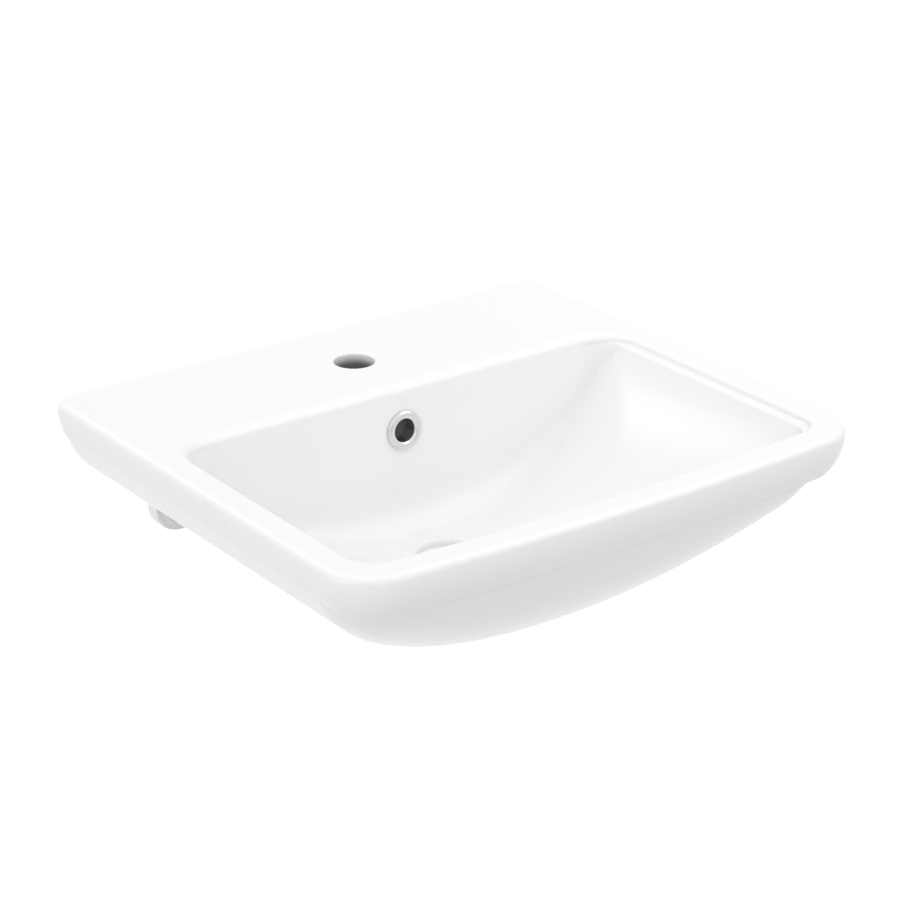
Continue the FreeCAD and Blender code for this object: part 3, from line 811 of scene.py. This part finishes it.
def bare_clay_and_painted_shade():
    """Masks of the unglazed places: the wall face, and the hollow, passages and bores inside; the inside mask
    also carries painted shade there, which grows towards the bottom of the tap bore.
    """
    outputs = [("Wall face", "NodeSocketFloat"), ("Inside", "NodeSocketFloat")]
    group, made = new_group("Bare clay and painted shade", [], outputs)
    if made:
        return group
    leave = node(group, "NodeGroupOutput")
    place = node(group, "ShaderNodeTexCoord")
    parts = node(group, "ShaderNodeSeparateXYZ")
    group.links.new(place.outputs["Object"], parts.inputs["Vector"])
    across = worked(group, "ABSOLUTE", parts.outputs["X"])
    y, z = parts.outputs["Y"], parts.outputs["Z"]
    wall = node(group, "ShaderNodeMapRange")
    wall.inputs["From Min"].default_value = -0.6 * MM
    wall.inputs["From Max"].default_value = -0.1 * MM
    group.links.new(y, wall.inputs["Value"])
    share = worked(group, "MINIMUM", worked(group, "DIVIDE", across, (HULL_HALF - WING / 2) * MM), 1.0)
    curve = worked(group, "SUBTRACT", 1.0, worked(group, "POWER", share, HULL_FULLNESS))
    depth = worked(group, "POWER", curve, HULL_ROUNDNESS)
    skin_z = worked(group, "MULTIPLY_ADD", depth, -(HULL_DROP - WING / 2) * MM, BAND_Z * MM)
    hollow = both(
        group,
        worked(group, "GREATER_THAN", y, (BOWL_BACK_Y + 0.4) * MM),
        worked(group, "LESS_THAN", y, (0.4 - FLANGE) * MM),
        worked(group, "LESS_THAN", z, (DECK_UNDER_Z - 0.1) * MM),
        worked(group, "GREATER_THAN", z, skin_z),
        worked(group, "LESS_THAN", across, (HULL_HALF - WING / 2) * MM),
    )
    overflow = both(
        group,
        worked(group, "LESS_THAN", across, 12.8 * MM),
        worked(group, "GREATER_THAN", y, (CREASE_BACK + 1.0) * MM),
        worked(group, "LESS_THAN", y, DUCT_BACK_Y * MM),
        worked(group, "GREATER_THAN", z, (OVERFLOW_Z - 13.5) * MM),
        worked(group, "LESS_THAN", z, (OVERFLOW_Z + 13.5) * MM),
    )
    from_tap = worked(group, "ABSOLUTE", worked(group, "ADD", y, -TAP_Y * MM))
    # Painted shade: the tap bore is darkened more the deeper it goes.
    down = node(group, "ShaderNodeMapRange", interpolation_type="SMOOTHSTEP")
    down.inputs["From Min"].default_value = (DECK_Z - 1.0) * MM
    down.inputs["From Max"].default_value = (DECK_Z - 11.0) * MM
    group.links.new(z, down.inputs["Value"])
    tap = both(
        group,
        worked(group, "LESS_THAN", across, 18.5 * MM),
        worked(group, "LESS_THAN", from_tap, 18.5 * MM),
        worked(group, "GREATER_THAN", z, (DECK_UNDER_Z - 0.2) * MM),
        down.outputs["Result"],
    )
    inside = worked(group, "MAXIMUM", worked(group, "MAXIMUM", hollow, overflow), tap)
    group.links.new(wall.outputs["Result"], leave.inputs["Wall face"])
    group.links.new(inside, leave.inputs["Inside"])
    return group


def glaze_material(colour, waviness):
    """White glaze: a clear coat over white, barely uneven, with bare fired clay out of sight; the hollow,
    passages and bores are painted near black as painted shade.
    """
    material, tree, shader = start_material("white_glaze")
    wear = placed_wear(tree, 14.0, 160.0, 0.06)
    clay = node(tree, "ShaderNodeGroup")
    clay.node_tree = bare_clay_and_painted_shade()
    shade = tuple(c * 0.985 for c in colour)
    before = tinted(tree, wear.outputs["Mask"], colour, shade, shader).outputs["Result"]
    # The wall face takes the bare clay's own pale colour; the near black tone inside is painted shade in the
    # hollow, passages and bores.
    for mask, tone in (("Wall face", (0.78, 0.75, 0.7)), ("Inside", (0.16, 0.15, 0.14))):
        mix = node(tree, "ShaderNodeMix", data_type="RGBA")
        mix.inputs["B"].default_value = (*tone, 1)
        tree.links.new(clay.outputs[mask], mix.inputs["Factor"])
        tree.links.new(before, mix.inputs["A"])
        before = mix.outputs["Result"]
    tree.links.new(before, shader.inputs["Base Color"])
    bare = worked(tree, "MAXIMUM", clay.outputs["Wall face"], clay.outputs["Inside"])
    tree.links.new(ranged(tree, bare, 0.21, 0.9), shader.inputs["Roughness"])
    tree.links.new(ranged(tree, bare, 0.1, 0.0), shader.inputs["Coat Weight"])
    shader.inputs["Coat Roughness"].default_value = 0.1
    bumped(tree, wear.outputs["Height"], waviness, 0.0012, shader)
    return material


def metal_material(name, colour, low, high, slow, fine, bump, metallic=1.0):
    """Plated metal whose roughness and tone vary a little over the surface."""
    material, tree, shader = start_material(name)
    wear = placed_wear(tree, slow, fine, 0.5)
    darker = tuple(c * 0.9 for c in colour)
    tinted(tree, wear.outputs["Mask"], colour, darker, shader)
    shader.inputs["Metallic"].default_value = metallic
    rough = ranged(tree, wear.outputs["Height"], low, high)
    tree.links.new(rough, shader.inputs["Roughness"])
    bumped(tree, wear.outputs["Height"], bump, 0.0002, shader)
    return material


def nylon_material(name, colour, rough):
    """Moulded nylon with a faint grain."""
    material, tree, shader = start_material(name)
    wear = placed_wear(tree, 60.0, 1400.0, 0.6)
    darker = tuple(c * 0.93 for c in colour)
    tinted(tree, wear.outputs["Mask"], colour, darker, shader)
    roughness = ranged(tree, wear.outputs["Height"], rough - 0.08, rough + 0.08)
    tree.links.new(roughness, shader.inputs["Roughness"])
    shader.inputs["Subsurface Weight"].default_value = 0.05
    shader.inputs["Subsurface Radius"].default_value = (0.002, 0.002, 0.002)
    bumped(tree, wear.outputs["Height"], 0.25, 0.0002, shader)
    return material


def dress(target, material):
    target.data.materials.clear()
    target.data.materials.append(material)


# ---- sizes and colours that a user would change
class BasinChina(bpy.types.PropertyGroup):
    colour: FloatVectorProperty(
        name="Glaze colour",
        description="Colour of the white glaze",
        subtype="COLOR",
        size=3,
        min=0.0,
        max=1.0,
        default=(0.9, 0.9, 0.9),
    )
    waviness: FloatProperty(
        name="Waviness",
        description="How uneven the glaze is",
        default=0.05,
        min=0.0,
        max=1.0,
        subtype="FACTOR",
    )
    deck_edge: FloatProperty(
        name="Deck edge radius",
        description="Rounding of the deck's edge at the sides and front, in millimetres",
        default=5.5,
        min=2.0,
        max=6.0,
    )
    back_edge: FloatProperty(
        name="Back edge radius",
        description="Rounding of the deck's edge at the wall, in millimetres",
        default=3.0,
        min=1.0,
        max=5.5,
    )
    side_lip: FloatProperty(
        name="Side lip radius",
        description="Rounding of the bowl's lip at the sides and front, in millimetres",
        default=3.5,
        min=1.0,
        max=5.0,
    )
    back_lip: FloatProperty(
        name="Back lip radius",
        description="How far the bowl's lip at the back reaches over the deck, in millimetres",
        default=9.0,
        min=3.0,
        max=12.0,
    )
    waste_floor: FloatProperty(
        name="Floor at the waste",
        description="Height of the bowl's floor round the waste, in millimetres",
        default=-9.6,
        min=-10.0,
        max=-7.0,
    )


class BasinRing(bpy.types.PropertyGroup):
    colour: FloatVectorProperty(
        name="Chrome colour",
        description="Colour of the chrome",
        subtype="COLOR",
        size=3,
        min=0.0,
        max=1.0,
        default=(0.78, 0.78, 0.79),
    )
    outer_radius: FloatProperty(
        name="Outer radius",
        description="Outer radius of the bezel, in millimetres",
        default=17.3,
        min=16.0,
        max=18.3,
    )
    inner_radius: FloatProperty(
        name="Inner radius",
        description="Radius of the hole in the bezel, in millimetres",
        default=9.8,
        min=9.0,
        max=11.0,
    )
    height: FloatProperty(
        name="Height",
        description="How far the bezel stands out of the china, in millimetres",
        default=3.0,
        min=2.0,
        max=4.6,
    )


class BasinFixings(bpy.types.PropertyGroup):
    zinc_colour: FloatVectorProperty(
        name="Zinc colour",
        description="Colour of the plated screws, washers and nuts",
        subtype="COLOR",
        size=3,
        min=0.0,
        max=1.0,
        default=(0.62, 0.63, 0.64),
    )
    bush_colour: FloatVectorProperty(
        name="Bush colour",
        description="Colour of the nylon bushes",
        subtype="COLOR",
        size=3,
        min=0.0,
        max=1.0,
        default=(0.84, 0.84, 0.82),
    )
    plug_colour: FloatVectorProperty(
        name="Plug colour",
        description="Colour of the nylon wall plugs",
        subtype="COLOR",
        size=3,
        min=0.0,
        max=1.0,
        default=(0.5, 0.51, 0.52),
    )
    metric_pitch: FloatProperty(
        name="Metric pitch",
        description="Pitch of the thread for the nut, in millimetres",
        default=1.5,
        min=1.0,
        max=2.0,
    )
    wood_pitch: FloatProperty(
        name="Wood thread pitch",
        description="Pitch of the thread in the wall plug, in millimetres",
        default=5.0,
        min=3.0,
        max=7.0,
    )
    segments: IntProperty(
        name="Segments",
        description="Facets round each screw",
        default=36,
        min=12,
        max=96,
    )


class BasinStage(bpy.types.PropertyGroup):
    floor_drop: FloatProperty(
        name="Floor height",
        description="Height of the floor below the fixing screws",
        default=-0.73,
        unit="LENGTH",
    )
    floor_colour: FloatVectorProperty(
        name="Floor colour",
        description="Colour of the floor",
        subtype="COLOR",
        size=3,
        min=0.0,
        max=1.0,
        default=(0.52, 0.52, 0.52),
    )
    sky: FloatProperty(
        name="Surrounding light",
        description="Strength of the light from all round",
        default=0.65,
        min=0.0,
    )
    sky_above: FloatProperty(
        name="More from above",
        description="How much stronger the light is overhead than at the horizon",
        default=0.43,
        min=0.0,
    )
    sky_left: FloatProperty(
        name="More from the left",
        description="How much stronger the light is on the left than in the middle",
        default=0.3,
        min=0.0,
    )
    sky_front: FloatProperty(
        name="More from the front",
        description="How much stronger the light is in front than in the middle",
        default=0.14,
        min=0.0,
    )
    front_light: FloatProperty(
        name="Front light",
        description="Power of the soft lamp at the upper right in front, in watts",
        default=9.0,
        min=0.0,
    )
    top_light: FloatProperty(
        name="Top light",
        description="Power of the soft lamp at the upper right behind, in watts",
        default=1.5,
        min=0.0,
    )
    low_left_light: FloatProperty(
        name="Low left light",
        description="Power of the soft lamp low on the left, in watts",
        default=5.0,
        min=0.0,
    )
    low_front_light: FloatProperty(
        name="Low front light",
        description="Power of the soft lamp low in front, in watts",
        default=3.0,
        min=0.0,
    )
    back_light: FloatProperty(
        name="Back light",
        description="Power of the soft lamp at the upper left behind, in watts",
        default=0.9,
        min=0.0,
    )


# ---- operators
class BASIN_OT_china(bpy.types.Operator):
    """Builds the glazed china body with its bowl, deck, band, hull, lugs and passages"""

    bl_idname = "basin.china"
    bl_label = "Build the china"

    def execute(self, context):
        sizes = context.scene.basin_china
        china = deck_band(sizes.deck_edge, sizes.back_edge)
        combine(china, hull(), "UNION")
        hollow_back(china)
        waste_and_overflow(china, sizes.waste_floor)
        combine(china, bowl_cutter(sizes.side_lip, sizes.back_lip, sizes.waste_floor), "DIFFERENCE")
        cut_passages(china, sizes.waste_floor)
        smooth(china, 34.0)
        dress(china, glaze_material(tuple(sizes.colour), sizes.waviness))
        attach(china, "root")
        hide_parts("ceramic_basin")
        return {"FINISHED"}


def bezel_profile(outer, inner, height):
    """The bezel's section: a rounded outer edge, a soft crown and a slope into the hole."""
    width = outer - inner
    crown = inner + width * 0.52
    profile = [(outer - 0.5, 0.0), (outer - 0.12, 0.12), (outer, 0.5)]
    for t in np.linspace(0.0, 1.0, 12)[1:]:
        turn = t * math.pi / 2
        r = crown + (outer - crown) * math.cos(turn)
        profile.append((r, 0.5 + (height - 0.5) * math.sin(turn)))
    for t in np.linspace(0.0, 1.0, 10)[1:]:
        turn = t * math.radians(72)
        r = crown - (crown - inner) * math.sin(turn) / math.sin(math.radians(72))
        fall = (1 - math.cos(turn)) / (1 - math.cos(math.radians(72)))
        profile.append((r, height - fall * height * 0.72))
    profile += [(inner, height * 0.16), (inner + 0.3, 0.0)]
    return profile


def ring_leg(turn, place):
    """One spring leg of the ring: a curved tongue with a barb near its end."""
    outer = 12.2
    thin = 1.3
    span = math.radians(56)
    levels = [(-0.4, 0.0), (0.6, 0.0), (6.5, 0.0), (9.2, 0.0), (10.0, 0.7), (12.2, 0.7), (15.0, 0.0)]
    rings = []
    for level, barb in levels:
        ring = []
        reach = outer - 0.7 + barb
        for share in np.linspace(-0.5, 0.5, 9):
            a = turn + share * span
            ring.append((reach * math.cos(a), reach * math.sin(a), -level))
        for share in np.linspace(0.5, -0.5, 9):
            a = turn + share * span
            ring.append(((outer - 0.7 - thin) * math.cos(a), (outer - 0.7 - thin) * math.sin(a), -level))
        rings.append(ring)
    rings = np.asarray(rings)
    flat = rings.reshape(-1, 3) @ np.asarray(place.to_3x3()).T + np.asarray(place.translation)
    return skin("leg", flat.reshape(rings.shape))


class BASIN_OT_ring(bpy.types.Operator):
    """Builds the chrome overflow ring with its spring legs"""

    bl_idname = "basin.ring"
    bl_label = "Build the overflow ring"

    def execute(self, context):
        sizes = context.scene.basin_ring
        place = overflow_place() @ Matrix.Translation((0, 0, 0.22))
        profile = bezel_profile(sizes.outer_radius, sizes.inner_radius, sizes.height)
        ring = turned("overflow_ring_chrome", profile, 128, place)
        legs = [ring_leg(math.radians(45 + 90 * k), place) for k in range(4)]
        join([ring] + legs)
        smooth(ring, 40.0)
        chrome = metal_material("chrome", tuple(sizes.colour), 0.03, 0.07, 40.0, 900.0, 0.02)
        dress(ring, chrome)
        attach(ring, "root")
        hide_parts("overflow_ring")
        return {"FINISHED"}


def join(objects):
    """Puts the meshes of several objects into the first, and removes the others."""
    shape = bmesh.new()
    for item in objects:
        shape.from_mesh(item.data)
    shape.to_mesh(objects[0].data)
    shape.free()
    for item in objects[1:]:
        bpy.data.objects.remove(item)


def threaded(low, high, crest, root, pitch, sharpness, taper):
    """(height, radius at an angle) of a thread that fades out at both ends."""
    steps = max(int((high - low) / pitch * 8), 2)
    levels = np.linspace(low, high, steps)

    def radius(z, angle):
        phase = (z / pitch - angle / (2 * math.pi)) % 1.0
        ridge = max(0.0, 1 - abs(phase - 0.5) * 2 * sharpness)
        fade = min((z - low) / taper, (high - z) / taper, 1.0)
        return root + (crest - root) * ridge * max(fade, 0.0)

    return levels, radius


def hanger_screw(side, sizes):
    """A hanger screw: a wood thread in the plug and a metric thread for the nut."""
    angles = np.linspace(0, 2 * math.pi, sizes.segments, endpoint=False)
    wood_levels, wood = threaded(-56.0, -3.0, 4.55, 3.3, sizes.wood_pitch, 2.4, 4.0)
    metric_levels, metric = threaded(2.0, 35.9, 4.98, 4.2, sizes.metric_pitch, 1.0, 1.5)
    rings = []
    for z, r in ((-62.0, 0.4), (-60.5, 1.6), (-57.5, 3.1)):
        rings.append([(r, a, z) for a in angles])
    for z in wood_levels:
        rings.append([(wood(z, a), a, z) for a in angles])
    for z, r in ((-2.4, 3.6), (-1.6, 4.4), (0.4, 4.5), (1.4, 4.3)):
        rings.append([(r, a, z) for a in angles])
    for z in metric_levels:
        rings.append([(metric(z, a), a, z) for a in angles])
    for z, r in ((36.4, 3.9), (36.9, 3.4)):
        rings.append([(r, a, z) for a in angles])
    solid = [[(side * FIXING_X + r * math.cos(a), -z, r * math.sin(a)) for r, a, z in ring] for ring in rings]
    return skin("screw_threaded_" + ("right" if side > 0 else "left"), solid)


class BASIN_OT_fixings(bpy.types.Operator):
    """Builds the threaded screws and finishes the bushes, washers, nuts and wall plugs"""

    bl_idname = "basin.fixings"
    bl_label = "Build the wall fixings"

    def execute(self, context):
        sizes = context.scene.basin_fixings
        zinc = metal_material("zinc_steel", tuple(sizes.zinc_colour), 0.25, 0.45, 90.0, 1500.0, 0.15)
        bush = nylon_material("bush_nylon", tuple(sizes.bush_colour), 0.42)
        plug = nylon_material("plug_nylon", tuple(sizes.plug_colour), 0.55)
        for side, word in ((-1, "left"), (1, "right")):
            screw = hanger_screw(side, sizes)
            smooth(screw, 50.0)
            dress(screw, zinc)
            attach(screw, "root")
            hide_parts("hanger_screw_" + word)
            dress(frame["nodes"]["fixing_washer_" + word], zinc)
            dress(frame["nodes"]["fixing_nut_" + word], zinc)
            dress(frame["nodes"]["fixing_bush_" + word], bush)
            dress(frame["nodes"]["wall_plug_" + word], plug)
        return {"FINISHED"}


def floor_material(colour):
    """A pale floor that the camera and reflections see as white, and that keeps a shadow."""
    material, tree, shader = start_material("floor")
    shader.inputs["Base Color"].default_value = (*colour, 1)
    shader.inputs["Roughness"].default_value = 0.9
    shader.inputs["Specular IOR Level"].default_value = 0.1
    path = node(tree, "ShaderNodeLightPath")
    seen = worked(tree, "MAXIMUM", path.outputs["Is Camera Ray"], path.outputs["Is Glossy Ray"])
    seen = worked(tree, "MAXIMUM", seen, path.outputs["Is Transmission Ray"])
    lift = worked(tree, "MULTIPLY", seen, 0.56)
    shader.inputs["Emission Color"].default_value = (1, 1, 1, 1)
    tree.links.new(lift, shader.inputs["Emission Strength"])
    return material


def studio_world(strength, from_above, from_left, from_front):
    """Soft white light, stronger from some sides, in a room that the camera sees as white."""
    world = bpy.data.worlds.new("studio")
    world.use_nodes = True
    bpy.context.scene.world = world
    tree = world.node_tree
    light = tree.nodes["Background"]
    light.inputs["Color"].default_value = (1, 1, 1, 1)
    place = node(tree, "ShaderNodeTexCoord")
    parts = node(tree, "ShaderNodeSeparateXYZ")
    tree.links.new(place.outputs["Generated"], parts.inputs["Vector"])
    level = strength
    for axis, more in (("Z", from_above), ("X", -from_left), ("Y", -from_front)):
        level = worked(tree, "MULTIPLY_ADD", parts.outputs[axis], more, level)
    level = worked(tree, "MAXIMUM", level, 0.0)
    path = node(tree, "ShaderNodeLightPath")
    amount = node(tree, "ShaderNodeMapRange")
    amount.inputs["To Max"].default_value = 1.0
    seen = worked(tree, "MAXIMUM", path.outputs["Is Camera Ray"], path.outputs["Is Glossy Ray"])
    seen = worked(tree, "MAXIMUM", seen, path.outputs["Is Transmission Ray"])
    tree.links.new(seen, amount.inputs["Value"])
    tree.links.new(level, amount.inputs["To Min"])
    tree.links.new(amount.outputs["Result"], light.inputs["Strength"])


def soft_lamp(name, place, target, width, height, power):
    lamp = bpy.data.lights.new(name, "AREA")
    lamp.shape = "RECTANGLE"
    lamp.size = width
    lamp.size_y = height
    lamp.energy = power
    made = bpy.data.objects.new(name, lamp)
    bpy.context.scene.collection.objects.link(made)
    made.location = place
    made.rotation_euler = (Vector(target) - Vector(place)).to_track_quat("-Z", "Y").to_euler()
    made.visible_camera = False
    return made


class BASIN_OT_stage(bpy.types.Operator):
    """Lays the floor and sets the light and the camera"""

    bl_idname = "basin.stage"
    bl_label = "Set the stage"

    def execute(self, context):
        sizes = context.scene.basin_stage
        reach = 30.0
        rings = [[(x * reach / MM, y * reach / MM, sizes.floor_drop / MM + z)
                  for x, y in ((-1, -1), (1, -1), (1, 1), (-1, 1))] for z in (-20.0, 0.0)]
        floor = skin("floor", rings)
        floor.data.materials.append(floor_material(tuple(sizes.floor_colour)))
        studio_world(sizes.sky, sizes.sky_above, sizes.sky_left, sizes.sky_front)
        middle = (0.0, -0.22, 0.05)
        soft_lamp("front_lamp", (1.25, -1.15, 1.8), middle, 1.8, 1.8, sizes.front_light)
        soft_lamp("top_lamp", (0.7, 0.8, 1.9), middle, 1.6, 1.6, sizes.top_light)
        soft_lamp("low_left_lamp", (-2.2, -0.3, -0.2), middle, 1.2, 0.8, sizes.low_left_light)
        soft_lamp("low_front_lamp", (0.2, -2.5, -0.2), middle, 1.6, 0.8, sizes.low_front_light)
        soft_lamp("back_lamp", (-0.75, 1.15, 1.08), middle, 0.5, 0.27, sizes.back_light)
        camera = bpy.data.cameras.new("camera")
        camera.lens = 112.4
        camera.sensor_width = 36.0
        camera.clip_end = 100.0
        eye = bpy.data.objects.new("camera", camera)
        context.scene.collection.objects.link(eye)
        eye.location = (-1.2552, -1.9248, 0.9971)
        aim = Vector((0.02407, -0.1818, 0.0674))
        eye.rotation_euler = (aim - eye.location).to_track_quat("-Z", "Y").to_euler()
        context.scene.camera = eye
        context.scene.view_settings.view_transform = "Standard"
        return {"FINISHED"}


class BASIN_PT_panel(bpy.types.Panel):
    bl_idname = "BASIN_PT_panel"
    bl_label = "Wall hung basin"
    bl_space_type = "VIEW_3D"
    bl_region_type = "UI"
    bl_category = "Basin"

    def draw(self, context):
        layout = self.layout
        for group, operator in PANEL_ROWS:
            box = layout.box()
            sizes = getattr(context.scene, group)
            for name in sizes.__annotations__:
                box.prop(sizes, name)
            box.operator(operator)


PANEL_ROWS = (
    ("basin_china", "basin.china"),
    ("basin_ring", "basin.ring"),
    ("basin_fixings", "basin.fixings"),
    ("basin_stage", "basin.stage"),
)
GROUPS = (
    ("basin_china", BasinChina),
    ("basin_ring", BasinRing),
    ("basin_fixings", BasinFixings),
    ("basin_stage", BasinStage),
)
CLASSES = (BASIN_OT_china, BASIN_OT_ring, BASIN_OT_fixings, BASIN_OT_stage, BASIN_PT_panel)


def register():
    for name, group in GROUPS:
        bpy.utils.register_class(group)
        setattr(bpy.types.Scene, name, PointerProperty(type=group))
    for item in CLASSES:
        bpy.utils.register_class(item)


def unregister():
    for item in reversed(CLASSES):
        bpy.utils.unregister_class(item)
    for name, group in reversed(GROUPS):
        delattr(bpy.types.Scene, name)
        bpy.utils.unregister_class(group)


def plain(box):
    return [[float(value) for value in corner] for corner in box]


def main():
    register()
    bpy.ops.basin.china()
    bpy.ops.basin.ring()
    bpy.ops.basin.fixings()
    bpy.ops.basin.stage()


if __name__ == "__main__":
    main()
